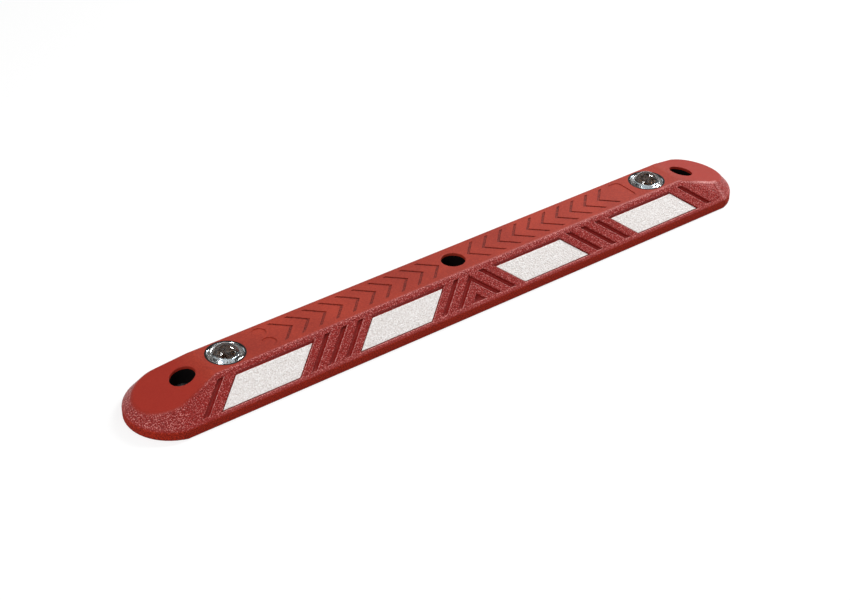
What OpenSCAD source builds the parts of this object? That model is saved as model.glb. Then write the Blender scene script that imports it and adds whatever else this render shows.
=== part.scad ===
// Flexible lane divider: a low rubber kerb that is bolted down along a traffic lane.
// +X runs along the kerb, +Y across it and +Z up. The origin is the middle of the base.

/* [Body] */
// Overall length of the kerb
body_length = 960; // [940:5:1040]
// Overall width at the base
body_width = 120; // [114:1:126]
// Height of the flat top
body_height = 50; // [46:1:56]
// Width of the flat top between its long creases
top_width = 56; // [52:1:59]
// Height of the upright rim round the base
rim_height = 12; // [10:0.5:14]
// Rounding of the crease between the top and the bevels
crease_r = 5; // [3:0.5:6]
// Rounding of the crease between the bevels and the rim
rim_r = 7; // [4:0.5:8]

/* [Ends] */
// Radius of a round end, over and above half the width
end_bulge = 2.5; // [1:0.5:4]
// Slope of a round end above its rim, in degrees
end_slope = 48.5; // [46:0.5:52]
// Length of each ramp, from its start on the top to the end of the kerb
ramp_run = 104; // [98:1:108]
// Fall of the ramps, in degrees
ramp_angle = 15; // [12:0.5:17]
// Radius of the soft blend from the top into a ramp
ramp_blend_r = 30; // [20:5:50]

/* [Fixing holes] */
// Diameter of a hole's mouth
hole_d = 32; // [28:0.5:34]
// Distance of the end holes from the ends of the kerb
hole_inset = 75.5; // [72:0.5:82]
// Diameter of the bolt's own bore
bolt_bore_d = 16; // [12:0.5:18]
// Height of the seat that the bolt head bears on
seat_height = 20; // [16:0.5:24]
// Thickness of the steel washer that makes the seat
washer_t = 3; // [2:0.5:5]
// Wall of the black sleeve in a hole
liner_wall = 1.5; // [1:0.1:2.5]
// Depth of the rubber lip above the sleeve
liner_sink = 4; // [3:0.5:7]

/* [Glass studs] */
// Diameter of the pocket that a stud sits in
stud_d = 51; // [48:0.5:52]
// Distance of the left stud from its end of the kerb
stud_left_inset = 136; // [135:0.5:146]
// Distance of the right stud from its end of the kerb
stud_right_inset = 141.5; // [135:0.5:146]
// Depth of the pocket below the top
stud_depth = 30; // [28:0.5:34]
// Wall of the cup, seen as a dark ring
cup_wall = 1.9; // [1:0.1:2.4]
// Thickness of the glass flange
flange_t = 6; // [4:0.5:8]
// Width of the flange's ledge round the bowl
flange_ledge = 2; // [1:0.1:3]
// Radius of the glass dome
dome_r = 18; // [15:0.5:19]
// Height of the dome above the top
dome_rise = 12; // [9:0.5:13]
// Thickness of the mirror coat
mirror_t = 0.5; // [0.3:0.1:1]

/* [Reflector panels] */
// Length of a panel along the kerb
panel_length = 108.5; // [100:0.5:114]
// Distance down the bevel from the crease to a panel
panel_top_margin = 11.7; // [10:0.1:13]
// Distance up the bevel from the rim to a panel
panel_low_margin = 5.5; // [5:0.1:7]
// Thickness of the white film
film_t = 0.8; // [0.4:0.1:1.2]
// Thickness of the dark bed under the film
bed_t = 0.7; // [0.4:0.1:1]
// Width of the bed that shows round the film
bed_border = 0.6; // [0.3:0.1:1]
// Depth of the film's face below the bevel
panel_sink = 1.2; // [0.5:0.1:1.5]
// Width of the sloping wall above a panel
brow_width = 3.3; // [2:0.1:5]
// Distance from the end of the kerb to the outer panel
panel_inset = 112.5; // [110:0.5:120]

/* [Grooves] */
// Width of a groove, measured along the kerb
groove_width = 9; // [7:0.5:11]
// Distance from one groove to the next
groove_pitch = 25; // [23:0.5:27]
// Depth of a groove
groove_depth = 3.2; // [2:0.1:4]
// Slope of a groove's walls, in degrees from square
groove_draft = 22; // [15:1:30]
// Distance down the bevel from the crease to the grooves
groove_top_margin = 7.5; // [5:0.5:9]
// Distance up the bevel from the rim to the grooves
groove_low_margin = 5; // [4:0.5:7]
// Distance from the middle to the outer edge of the first slanting groove
groove_first = 44.5; // [42:0.5:47]
// Distance from the outer panel to the last groove
groove_last_gap = 19; // [14:0.5:22]
// Number of grooves between the two panels of a quarter
groove_count = 3; // [2:1:3]

/* [Top marks] */
// Distance of the first chevron from the middle
chevron_first = 22.5; // [20:0.5:26]
// Distance from one chevron to the next
chevron_pitch = 25; // [20:0.5:30]
// Length of a chevron along the kerb
chevron_run = 25; // [20:0.5:27]
// Overall width of a chevron
chevron_span = 41; // [32:0.5:42]
// Width of a chevron's stroke, measured along the kerb
chevron_stroke = 4.6; // [3:0.1:7]
// Depth of the chevrons and the other marks
mark_depth = 1; // [0.5:0.1:1.5]
// Distance of the two round marks from the left end of the kerb
mark_inset = 190.5; // [186:0.5:194]
// Diameter of the two round marks
mark_d = 19; // [16:0.5:20]
// Space between the two round marks
mark_space = 4.6; // [3:0.1:6]
// Distance of the bare plate from the right end of the kerb
plate_inset = 188; // [184:0.5:192]
// Length of the bare plate along the kerb
plate_length = 22; // [16:0.5:24]
// Width of the bare plate across the kerb
plate_width = 42; // [36:0.5:46]
// Corner radius of the bare plate
plate_corner_r = 8; // [4:0.5:10]

/* [Hidden] */
// Smoothness of the preview
$fn = 72;
// Overrun of every cut past the face that it opens
overrun = 2;
// Clearance between pieces that fit into one another
fit_gap = 0.15;
// Lean of the bevel's pattern: travel along the kerb for each unit down the slope
lean_share = 1;
// Draft of a panel recess's side walls: travel for each unit of depth
recess_draft_share = 0.25;
// Chamfer on the upper edge of the glass flange
flange_chamfer = 0.8;
// Rise of the glass from the flange's edge to the foot of the dome
collar_rise = 1.6;
// Width of the level collar round the foot of the dome
collar_ledge = 1.2;
// Least space between the last chevron and the marks beyond it
chevron_gap = 4;

// Section of the body: the rim, the bevel and the flat top
half_width = body_width / 2;
top_half = top_width / 2;
bevel_run = half_width - top_half;
bevel_drop = body_height - rim_height;
bevel_angle = atan2(bevel_drop, bevel_run);
bevel_slant = sqrt(pow(bevel_run, 2) + pow(bevel_drop, 2));
crease_t = crease_r * tan(bevel_angle / 2);

// Plan of the body: straight sides between two round ends, which are a little wider than the kerb
end_r = half_width + end_bulge;
end_x = body_length / 2 - end_r;
end_top_r = end_r - bevel_drop / tan(end_slope);

// Side view of the body: the ramps and their blends
reach_x = body_length / 2 + overrun;
ramp_x = body_length / 2 - ramp_run;
ramp_end_z = body_height - (reach_x - ramp_x) * tan(ramp_angle);
blend_t = ramp_blend_r * tan(ramp_angle / 2);

// Holes and studs
hole_r = hole_d / 2;
hole_x = body_length / 2 - hole_inset;
liner_r = hole_r + liner_wall;
washer_z = seat_height - washer_t;
stud_left_x = stud_left_inset - body_length / 2;
stud_right_x = body_length / 2 - stud_right_inset;

// A stud is nested from the outside inwards: cup, mirror coat, glass
cup_r = stud_d / 2 - fit_gap;
cup_z = body_height - stud_depth;
glass_r = cup_r - cup_wall - fit_gap;
flange_z = body_height - flange_t;
bowl_r = glass_r - flange_ledge;
bowl_drop = flange_z - cup_z - cup_wall - mirror_t - 2 * fit_gap;
bowl_sphere_r = (pow(bowl_r, 2) + pow(bowl_drop, 2)) / (2 * bowl_drop);
bowl_centre_z = flange_z - bowl_drop + bowl_sphere_r;
dome_centre_z = body_height + dome_rise - dome_r;
collar_z = body_height + collar_rise;
dome_foot_r = sqrt(pow(dome_r, 2) - pow(collar_z - dome_centre_z, 2));

// The bevel's pattern is set out along the line halfway down the panels. From the middle outwards a quarter
// holds the first groove, a panel, a set of grooves, a panel and the last groove. The three spaces as far as
// the outer panel are alike.
panel_low = bevel_slant - panel_low_margin;
pattern_mid = (panel_top_margin + panel_low) / 2;
lean_stretch = sqrt(1 + pow(lean_share, 2));
panel_end = body_length / 2 - panel_inset;
set_length = (groove_count - 1) * groove_pitch + groove_width;
pattern_gap = (panel_end - groove_first - set_length - 2 * panel_length) / 3;
inner_panel_x = groove_first + pattern_gap;
set_x = inner_panel_x + panel_length + pattern_gap;
outer_panel_x = panel_end - panel_length;
groove_last = panel_end + groove_last_gap + groove_width;
panel_depth = panel_sink + film_t + bed_t;

// Outer edges of the slanting grooves of a quarter
set_edges = [for (i = [1 : groove_count]) set_x + groove_width + (i - 1) * groove_pitch];
groove_edges = concat([groove_first], set_edges, [groove_last]);
// Outer edges of the arrow and the triangle in the middle, which carry on the same pitch
arrow_edge = groove_first - groove_pitch;
triangle_edge = arrow_edge - groove_pitch;
groove_low = bevel_slant - groove_low_margin;
groove_inset_wall = groove_depth * tan(groove_draft);

// Marks on the top
mark_x = mark_inset - body_length / 2;
mark_y = (mark_d + mark_space) / 2;
plate_x = body_length / 2 - plate_inset;
chevron_end = min(-mark_x - mark_d / 2, plate_x - plate_length / 2) - chevron_gap;
chevron_count = floor((chevron_end - chevron_run - chevron_first) / chevron_pitch) + 1;
chevron_arm = chevron_run - chevron_stroke;

SIDES = ["front", "rear"];
PANELS = [1, 2, 3, 4];
ENDS = ["left", "right"];
HOLES = ["left", "centre", "right"];

// Places along the kerb
function stud_place(end) = end == "left" ? stud_left_x : stud_right_x;
function hole_place(hole) = hole == "centre" ? 0 : hole == "left" ? -hole_x : hole_x;

// Points on the bevel, x along the kerb and s down the slope from the crease
function on_slope(x_mid, s) = [x_mid + lean_share * (s - pattern_mid), -s];

// Depth down the slope at which a leaning edge crosses the middle of the kerb
function apex_of(x_mid) = pattern_mid - x_mid / lean_share;

// A leaning parallelogram, grown by a margin at its sides, its top and its foot
function leaning_loop(x_in, x_out, s_top, s_low, side = 0, top = 0, low = 0) = [
    on_slope(x_in - side * lean_stretch, s_top - top),
    on_slope(x_out + side * lean_stretch, s_top - top),
    on_slope(x_out + side * lean_stretch, s_low + low),
    on_slope(x_in - side * lean_stretch, s_low + low)
];

// An arrow that points up the slope, with arms as wide as a groove, drawn in by a wall's width
function arrow_loop(wall) =
    let (outer = arrow_edge - wall * lean_stretch)
    let (inner = arrow_edge - groove_width + wall * lean_stretch)
    let (foot = groove_low - wall)
    [
        [0, -apex_of(outer)],
        on_slope(outer, foot),
        on_slope(inner, foot),
        [0, -apex_of(inner)],
        [-on_slope(inner, foot).x, -foot],
        [-on_slope(outer, foot).x, -foot]
    ];

// The triangle between the arrow's arms, drawn in by a wall's width
function triangle_loop(wall) =
    let (outer = triangle_edge - wall * lean_stretch)
    let (foot = groove_low - wall)
    [[0, -apex_of(outer)], on_slope(outer, foot), [-on_slope(outer, foot).x, -foot]];

// A recess with sloping walls through its mouth in the surface and its base below, carried on past the mouth
module drafted_cut(mouth, base, depth) {
    n = len(mouth);
    lid = [for (i = [0 : n - 1]) mouth[i] + (mouth[i] - base[i]) * overrun / depth];
    points = concat([for (p = lid) [p.x, p.y, overrun]], [for (p = base) [p.x, p.y, -depth]]);
    lid_face = [for (i = [0 : n - 1]) i];
    floor_face = [for (i = [n : -1 : 1]) n + i % n];
    walls = [for (i = [0 : n - 1]) let (j = (i + 1) % n) [i, n + i, n + j, j]];
    polyhedron(points, concat([lid_face], walls, [floor_face]));
}

// Moves what is drawn on the bevel's plane, +Y up the slope, to one of the two bevels
module on_bevel(side) {
    rotate([0, 0, side == "rear" ? 180 : 0])
        translate([0, -top_half, body_height])
            rotate([bevel_angle, 0, 0])
                children();
}

// Turns the right-hand half of the pattern into the left-hand half for the first two panels
module panel_half(i) {
    mirror([i < 3 ? 1 : 0, 0, 0])
        children();
}

function panel_place(i) = i == 1 || i == 4 ? outer_panel_x : inner_panel_x;

// A panel's outline, grown all round by a margin
function panel_loop(i, grow) =
    let (x = panel_place(i))
    leaning_loop(x, x + panel_length, panel_top_margin, panel_low, grow, grow, grow);

// Half of a section, from its middle outwards: an upright rim and the slope that rises from it to a point
module rim_and_slope(half, slope, top) {
    t = rim_r * tan((90 - slope) / 2);
    polygon([
        [0, 0],
        [half, 0],
        [half, rim_height - t],
        [half - t * cos(slope), rim_height + t * sin(slope)],
        top,
        [0, top.y]
    ]);
    translate([half - rim_r, rim_height - t])
        circle(r = rim_r);
}

// Half of the kerb's section, with the crease below its flat top rounded
module half_section() {
    crease_x = top_half - crease_t;
    bevel_top = [top_half + crease_t * cos(bevel_angle), body_height - crease_t * sin(bevel_angle)];
    rim_and_slope(half_width, bevel_angle, bevel_top);
    polygon([[0, bevel_top.y], bevel_top, [crease_x, body_height], [0, body_height]]);
    translate([crease_x, body_height - crease_r])
        circle(r = crease_r);
}

// The bevelled kerb, as long as the whole and square at its ends
module bevelled_bar() {
    rotate([90, 0, 90])
        linear_extrude(height = body_length, center = true) {
            half_section();
            mirror([1, 0])
                half_section();
        }
}

// The two round ends and the room between them, which is wider than the kerb
module round_ends() {
    translate([-end_x, -end_r - overrun, 0])
        cube([2 * end_x, 2 * (end_r + overrun), body_height]);
    for (turn = [0, 180])
        rotate([0, 0, turn])
            translate([end_x, 0, 0])
                rotate([0, 0, -90])
                    rotate_extrude(angle = 180)
                        rim_and_slope(end_r, end_slope, [end_top_r, body_height]);
}

// Everything below the top and the two ramps, lowered by a depth
module under_top(depth = 0) {
    translate([0, 0, -depth])
        rotate([90, 0, 0])
            linear_extrude(height = body_width + 2 * overrun, center = true) {
                polygon([
                    [-reach_x, -overrun],
                    [reach_x, -overrun],
                    [reach_x, ramp_end_z],
                    [ramp_x + blend_t * cos(ramp_angle), body_height - blend_t * sin(ramp_angle)],
                    [ramp_x - blend_t, body_height],
                    [blend_t - ramp_x, body_height],
                    [-ramp_x - blend_t * cos(ramp_angle), body_height - blend_t * sin(ramp_angle)],
                    [-reach_x, ramp_end_z]
                ]);
                for (x = [blend_t - ramp_x, ramp_x - blend_t])
                    translate([x, body_height - ramp_blend_r])
                        circle(r = ramp_blend_r);
            }
}

// The cuts of a fixing hole: the bolt's bore, the pocket for the washer and sleeve, and the mouth
module hole_cut(x) {
    translate([x, 0, -overrun])
        cylinder(d = bolt_bore_d, h = washer_z + 2 * overrun);
    intersection() {
        translate([x, 0, washer_z])
            cylinder(r = liner_r + fit_gap, h = body_height);
        under_top(liner_sink);
    }
    translate([x, 0, seat_height])
        cylinder(r = hole_r, h = body_height);
}

// The groove pattern of one bevel
module groove_cuts() {
    for (flip = [0, 1], edge = groove_edges)
        mirror([flip, 0, 0])
            drafted_cut(
                leaning_loop(edge - groove_width, edge, groove_top_margin, groove_low),
                leaning_loop(
                    edge - groove_width,
                    edge,
                    groove_top_margin,
                    groove_low,
                    -groove_inset_wall,
                    -groove_inset_wall,
                    -groove_inset_wall
                ),
                groove_depth
            );
    drafted_cut(arrow_loop(0), arrow_loop(groove_inset_wall), groove_depth);
    drafted_cut(triangle_loop(0), triangle_loop(groove_inset_wall), groove_depth);
}

// The recess of one panel: close round the bed below, and sloping back above it as a brow
module panel_cut(i) {
    x = panel_place(i);
    border = bed_border + fit_gap;
    wall = border + panel_depth * recess_draft_share;
    panel_half(i)
        drafted_cut(
            leaning_loop(x, x + panel_length, panel_top_margin, panel_low, wall, border + brow_width, wall),
            panel_loop(i, border),
            panel_depth
        );
}

// A chevron sunk in the top, its point towards the middle of the kerb
module chevron(x) {
    polygon([
        [x, 0],
        [x + chevron_arm, -chevron_span / 2],
        [x + chevron_run, -chevron_span / 2],
        [x + chevron_stroke, 0],
        [x + chevron_run, chevron_span / 2],
        [x + chevron_arm, chevron_span / 2]
    ]);
}

// A rectangle with round corners, about its own middle
module rounded_plate(length, width, r) {
    square([length - 2 * r, width], center = true);
    square([length, width - 2 * r], center = true);
    for (x = [r - length / 2, length / 2 - r], y = [r - width / 2, width / 2 - r])
        translate([x, y])
            circle(r = r);
}

// All the marks in the top: chevrons on both halves, two round marks and a bare plate
module top_marks() {
    translate([0, 0, body_height - mark_depth])
        linear_extrude(height = mark_depth + overrun) {
            for (flip = [0, 1], i = [0 : chevron_count - 1])
                mirror([flip, 0])
                    chevron(chevron_first + i * chevron_pitch);
            for (y = [-mark_y, mark_y])
                translate([mark_x, y])
                    circle(d = mark_d);
            translate([plate_x, 0])
                rounded_plate(plate_length, plate_width, plate_corner_r);
        }
}

// The moulded rubber kerb
module body() {
    color("#A53E34")
        difference() {
            intersection() {
                bevelled_bar();
                round_ends();
                under_top();
            }
            top_marks();
            for (hole = HOLES)
                hole_cut(hole_place(hole));
            for (end = ENDS)
                translate([stud_place(end), 0, cup_z])
                    cylinder(d = stud_d, h = stud_depth + overrun);
            for (side = SIDES)
                on_bevel(side) {
                    groove_cuts();
                    for (i = PANELS)
                        panel_cut(i);
                }
        }
}

// A flat sheet in a panel's recess: its outline grown by a margin, its face at a depth below the bevel
module panel_sheet(side, i, grow, depth, thickness) {
    on_bevel(side)
        panel_half(i)
            translate([0, 0, -depth - thickness])
                linear_extrude(height = thickness)
                    polygon(panel_loop(i, grow));
}

// White film with glass beads
module panel(side, i) {
    color("#ECE8E3")
        panel_sheet(side, i, 0, panel_sink, film_t);
}

// Dark bed that bonds the film to the rubber
module panel_bed(side, i) {
    color("#2B1715")
        panel_sheet(side, i, bed_border, panel_sink + film_t, bed_t);
}

// The half-plane beside a stud's axis, between two heights
module axis_strip(z_low, z_high) {
    translate([0, z_low])
        square([stud_d, z_high - z_low]);
}

// A disc of the bowl's sphere grown by a margin, cut off at a height
module bowl_disc(grow, z_high) {
    intersection() {
        translate([0, bowl_centre_z])
            circle(r = bowl_sphere_r + grow);
        axis_strip(cup_z, z_high);
    }
}

// Solid glass lens: a bowl below, a flange in the cup and a dome above
module stud_glass(end) {
    color("#C9D2D6")
        translate([stud_place(end), 0, 0])
            rotate_extrude() {
                bowl_disc(0, flange_z);
                polygon([
                    [0, flange_z],
                    [glass_r, flange_z],
                    [glass_r, body_height - flange_chamfer],
                    [glass_r - flange_chamfer, body_height],
                    [dome_foot_r + collar_ledge, collar_z],
                    [0, collar_z]
                ]);
                intersection() {
                    translate([0, dome_centre_z])
                        circle(r = dome_r);
                    axis_strip(collar_z, body_height + dome_rise);
                }
            }
}

// Mirror coat round the bowl of the glass
module stud_mirror(end) {
    color("#D5D8DA")
        translate([stud_place(end), 0, 0])
            rotate_extrude()
                difference() {
                    bowl_disc(fit_gap + mirror_t, flange_z - fit_gap);
                    bowl_disc(fit_gap, flange_z);
                }
}

// Black cup that holds the glass in the rubber
module stud_cup(end) {
    color("#1B1B1D")
        translate([stud_place(end), 0, 0])
            rotate_extrude()
                difference() {
                    translate([0, cup_z])
                        square([cup_r, stud_depth]);
                    bowl_disc(mirror_t + 2 * fit_gap, flange_z);
                    translate([0, flange_z])
                        square([glass_r + fit_gap, flange_t + overrun]);
                }
}

// Black sleeve moulded into a hole, its upper end parallel to the surface above it
module hole_liner(hole) {
    color("#161617")
        intersection() {
            translate([hole_place(hole), 0, seat_height])
                difference() {
                    cylinder(r = liner_r, h = body_height);
                    translate([0, 0, -overrun])
                        cylinder(r = hole_r, h = body_height + 2 * overrun);
                }
            under_top(liner_sink + fit_gap);
        }
}

// Steel washer that the bolt head bears on
module seat_washer(hole) {
    color("#A9ADB0")
        translate([hole_place(hole), 0, washer_z])
            difference() {
                cylinder(r = liner_r, h = washer_t);
                translate([0, 0, -overrun])
                    cylinder(d = bolt_bore_d, h = washer_t + 2 * overrun);
            }
}

body();
for (side = SIDES, i = PANELS) {
    panel(side, i);
    panel_bed(side, i);
}
for (end = ENDS) {
    stud_glass(end);
    stud_mirror(end);
    stud_cup(end);
}
for (hole = HOLES) {
    hole_liner(hole);
    seat_washer(hole);
}
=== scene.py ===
# %% [markdown]
# # A rubber lane divider
# The divider is a low kerb of red rubber that is bolted down beside a traffic lane. White reflector panels
# lie in its two bevels and two glass studs stand in its top. The solids arrive here at their real sizes and
# places, so the lesson only dresses them: it softens the rubber's edges, embosses the film, turns the glass
# and gives each material the finish that the real one has.

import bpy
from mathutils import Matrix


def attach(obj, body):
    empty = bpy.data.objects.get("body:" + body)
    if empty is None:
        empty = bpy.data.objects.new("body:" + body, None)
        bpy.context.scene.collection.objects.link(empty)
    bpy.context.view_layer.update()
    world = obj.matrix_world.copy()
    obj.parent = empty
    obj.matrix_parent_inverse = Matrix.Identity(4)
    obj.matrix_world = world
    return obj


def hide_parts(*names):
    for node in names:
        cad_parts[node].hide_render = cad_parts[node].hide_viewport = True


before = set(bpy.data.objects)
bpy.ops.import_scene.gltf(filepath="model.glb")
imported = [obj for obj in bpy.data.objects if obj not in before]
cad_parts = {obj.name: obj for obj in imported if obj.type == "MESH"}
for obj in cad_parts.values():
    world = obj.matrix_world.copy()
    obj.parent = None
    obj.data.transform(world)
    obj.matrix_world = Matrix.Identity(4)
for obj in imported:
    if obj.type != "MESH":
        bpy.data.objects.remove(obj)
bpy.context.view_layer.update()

# %% Tools and sizes
import math

import bmesh
import bpy
import numpy as np
from mathutils import Matrix, Quaternion, Vector

MM = 0.001
HALF_LENGTH = 480 * MM
HALF_WIDTH = 60 * MM
HEIGHT = 50 * MM
TOP_HALF = 28 * MM
RIM_HEIGHT = 12 * MM
BEVEL_ANGLE = math.atan2(HEIGHT - RIM_HEIGHT, HALF_WIDTH - TOP_HALF)
END_R = 62.5 * MM
END_X = HALF_LENGTH - END_R
END_ANGLE = math.radians(48.5)
RAMP_X = 376 * MM
RAMP_FALL = math.tan(math.radians(15))
HOLE_X = 404.5 * MM
STUD_LEFT_X = -344 * MM
STUD_RIGHT_X = 338.5 * MM
print("bevel angle:", round(math.degrees(BEVEL_ANGLE), 2))

# %% [markdown]
# ## The camera
# The camera stands in front of the kerb's left half and looks down on it. It is placed by its azimuth and
# elevation round the middle of the base, and then slid sideways and down in its own plane until the kerb
# lies in the frame as it should. The lens is a short telephoto, so the far end is only a little smaller.

# %% Place the camera
AZIMUTH = math.radians(-37.04)
ELEVATION = math.radians(33.68)
ROLL = math.radians(-0.055)
CAMERA_DISTANCE = 2355.71 * MM
CAMERA_SLIDE = (-36.22 * MM, -10.53 * MM)
FOCAL_PIXELS = 1805.09
FRAME_PIXELS = 850
SENSOR = 36

flat = math.cos(ELEVATION)
back = Vector((math.sin(AZIMUTH) * flat, -math.cos(AZIMUTH) * flat, math.sin(ELEVATION)))
right = Vector((math.cos(AZIMUTH), math.sin(AZIMUTH), 0))
up = back.cross(right)
place = back * CAMERA_DISTANCE + right * CAMERA_SLIDE[0] + up * CAMERA_SLIDE[1]
turned_right = right * math.cos(ROLL) + up * math.sin(ROLL)
turned_up = up * math.cos(ROLL) - right * math.sin(ROLL)

bpy.ops.object.select_all(action="DESELECT")
bpy.ops.object.camera_add(location=place)
camera = bpy.context.object
camera.name = "camera"
camera.rotation_euler = Matrix((turned_right, turned_up, back)).transposed().to_euler()
camera.data.sensor_width = SENSOR
camera.data.lens = FOCAL_PIXELS / FRAME_PIXELS * SENSOR
bpy.context.scene.camera = camera
print("lens:", round(camera.data.lens, 2), "mm")

# %% [markdown]
# ## Working helpers
# Every operator acts on whatever is selected, so each piece is first left as the only selected object. Edges
# are picked in edit mode by a test of their own, and then an operator works on them as it would by hand.


# %% Select one piece, pick edges
def only(piece):
    """Leaves one piece selected and active."""
    bpy.ops.object.select_all(action="DESELECT")
    piece.select_set(True)
    bpy.context.view_layer.objects.active = piece


def pick_edges(piece, wanted):
    """Selects the edges that pass a test, in edit mode, and counts them."""
    bpy.ops.mesh.select_mode(type="EDGE")
    bpy.ops.mesh.select_all(action="DESELECT")
    work = bmesh.from_edit_mesh(piece.data)
    picked = [edge for edge in work.edges if wanted(edge)]
    for edge in picked:
        edge.select_set(True)
    bmesh.update_edit_mesh(piece.data)
    return len(picked)


def apply_modifier(piece, kind, **settings):
    """Adds a modifier, sets it and applies it."""
    only(piece)
    modifier = piece.modifiers.new(kind.lower(), kind)
    for name, value in settings.items():
        setattr(modifier, name, value)
    bpy.ops.object.modifier_apply(modifier=modifier.name)


print("pieces can be selected and modifiers applied")

# %% [markdown]
# ## Colours and shader nodes
# Colours are written as the hex codes that a picture editor shows. Blender's shaders work in linear light, so
# one function converts them. A second one adds any node at all, with its settings and its links.


# %% Colour and node functions
def linear(code):
    """An sRGB hex colour as linear red, green, blue and alpha."""
    parts = [int(code[i : i + 2], 16) / 255 for i in (1, 3, 5)]
    curved = [c / 12.92 if c <= 0.04045 else ((c + 0.055) / 1.055) ** 2.4 for c in parts]
    return (*curved, 1.0)


def add_node(tree, kind, inputs=None, **settings):
    """Adds a node, sets its properties, links or sets its inputs, and gives its outputs."""
    node = tree.nodes.new(kind)
    for name, value in settings.items():
        setattr(node, name, value)
    for key, value in (inputs or {}).items():
        if isinstance(value, bpy.types.NodeSocket):
            tree.links.new(value, node.inputs[key])
        else:
            node.inputs[key].default_value = value
    return node.outputs


def new_material(name):
    """A material with its node tree and its Principled shader."""
    material = bpy.data.materials.new(name)
    material.use_nodes = True
    return material, material.node_tree, material.node_tree.nodes["Principled BSDF"]


print("middle grey in linear light:", round(linear("#808080")[0], 3))

# %% [markdown]
# ## The moulded kerb
# The kerb is pressed in a mould, and rubber never leaves a mould with knife-sharp edges. A copy of the solid
# is welded, its flat faces are cleaned of needless edges, and then the edges are rounded over as a toolmaker
# would: most on the ramps' creases and the holes, less round the grooves and the panels, least on the fine
# marks of the top. A bevel on chosen edges keeps every size, which a remesh wouldn't.

# %% Weld a copy of the body
kerb = bpy.data.objects.new("kerb_moulding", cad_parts["body"].data.copy())
bpy.context.scene.collection.objects.link(kerb)
only(kerb)
WELD = 0.001 * MM
FLAT = math.radians(0.6)
bpy.ops.object.mode_set(mode="EDIT")
bpy.ops.mesh.select_mode(type="VERT")
bpy.ops.mesh.select_all(action="SELECT")
bpy.ops.mesh.remove_doubles(threshold=WELD)
bpy.ops.mesh.customdata_custom_splitnormals_clear()
bpy.ops.mesh.dissolve_limited(angle_limit=FLAT)
bpy.ops.object.mode_set(mode="OBJECT")
print("kerb:", len(kerb.data.vertices), "points,", len(kerb.data.polygons), "faces")

# %% Tell the edges apart
SHARP = math.radians(18)
SEAM = math.radians(5)
SKIN = 0.45 * MM
POCKET_R = 26 * MM
HOLE_REACH = 20 * MM
CREASE_FROM = 396 * MM


def reach(point):
    """Distance from the kerb's spine, which is a line with a point at each end."""
    return math.hypot(max(abs(point.x) - END_X, 0), point.y)


def below_top(point):
    """Depth of a point below the flat top or the ramp over it."""
    return HEIGHT - max(abs(point.x) - RAMP_X, 0) * RAMP_FALL - point.z


def below_bevel(point):
    """Depth of a point below the flat bevel, measured square to it."""
    outward = (abs(point.y) - HALF_WIDTH) * math.sin(BEVEL_ANGLE)
    return -outward - (point.z - RIM_HEIGHT) * math.cos(BEVEL_ANGLE)


def below_end(point):
    """Depth of a point below the round end's slope, measured square to it."""
    if abs(point.x) < END_X:
        return HEIGHT
    outward = (reach(point) - END_R) * math.sin(END_ANGLE)
    return -outward - (point.z - RIM_HEIGHT) * math.cos(END_ANGLE)


def within(point, places, radius):
    """Tells whether a point lies within a radius of one of these places along the kerb."""
    return any(math.hypot(point.x - x, point.y) < radius for x in places)


def edge_kind(edge):
    """Names the place of a sharp edge, or gives nothing for an edge that stays as it is."""
    ends = [vert.co for vert in edge.verts]
    if len(edge.link_faces) != 2 or edge.calc_face_angle(0) < SEAM:
        return None
    on_top = all(abs(below_top(p)) < SKIN for p in ends)
    on_side = all(abs(min(below_bevel(p), below_end(p))) < SKIN and p.z > RIM_HEIGHT / 2 for p in ends)
    whole = ends + [(ends[0] + ends[1]) / 2]
    if on_side and all(abs(below_bevel(p) - below_end(p)) < SKIN for p in whole):
        return "end seam"
    if edge.calc_face_angle(0) < SHARP:
        return None
    if on_top and on_side:
        return "ramp crease" if all(abs(p.x) > CREASE_FROM for p in ends) else None
    if on_side:
        return "recess"
    if on_top:
        if all(within(p, (STUD_LEFT_X, STUD_RIGHT_X), POCKET_R) for p in ends):
            return None
        return "hole" if all(within(p, (-HOLE_X, 0, HOLE_X), HOLE_REACH) for p in ends) else "mark"
    if all(p.z < SKIN and reach(p) > HALF_WIDTH - SKIN for p in ends):
        return "foot"
    return None


print("edges count as sharp from", round(math.degrees(SHARP)), "degrees")

# %% Round the edges over
ROUNDING = {
    "recess": (0.7 * MM, 3),
    "mark": (0.35 * MM, 2),
    "hole": (0.8 * MM, 3),
    "ramp crease": (3 * MM, 4),
    "end seam": (1.5 * MM, 2),
    "foot": (0.8 * MM, 2),
}
KERB_SMOOTH = math.radians(40)
FLAT_WEIGHT = 80
only(kerb)
bpy.ops.object.mode_set(mode="EDIT")
for kind, (width, steps) in ROUNDING.items():
    count = pick_edges(kerb, lambda edge: edge_kind(edge) == kind)
    bpy.ops.mesh.bevel(offset=width, segments=steps, affect="EDGES", clamp_overlap=False)
    print("rounded", count, kind, "edges by", round(width / MM, 2), "mm")
bpy.ops.object.mode_set(mode="OBJECT")
bpy.ops.object.shade_smooth_by_angle(angle=KERB_SMOOTH)
apply_modifier(kerb, "WEIGHTED_NORMAL", keep_sharp=True, weight=FLAT_WEIGHT)
print("kerb:", len(kerb.data.polygons), "faces")
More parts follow.
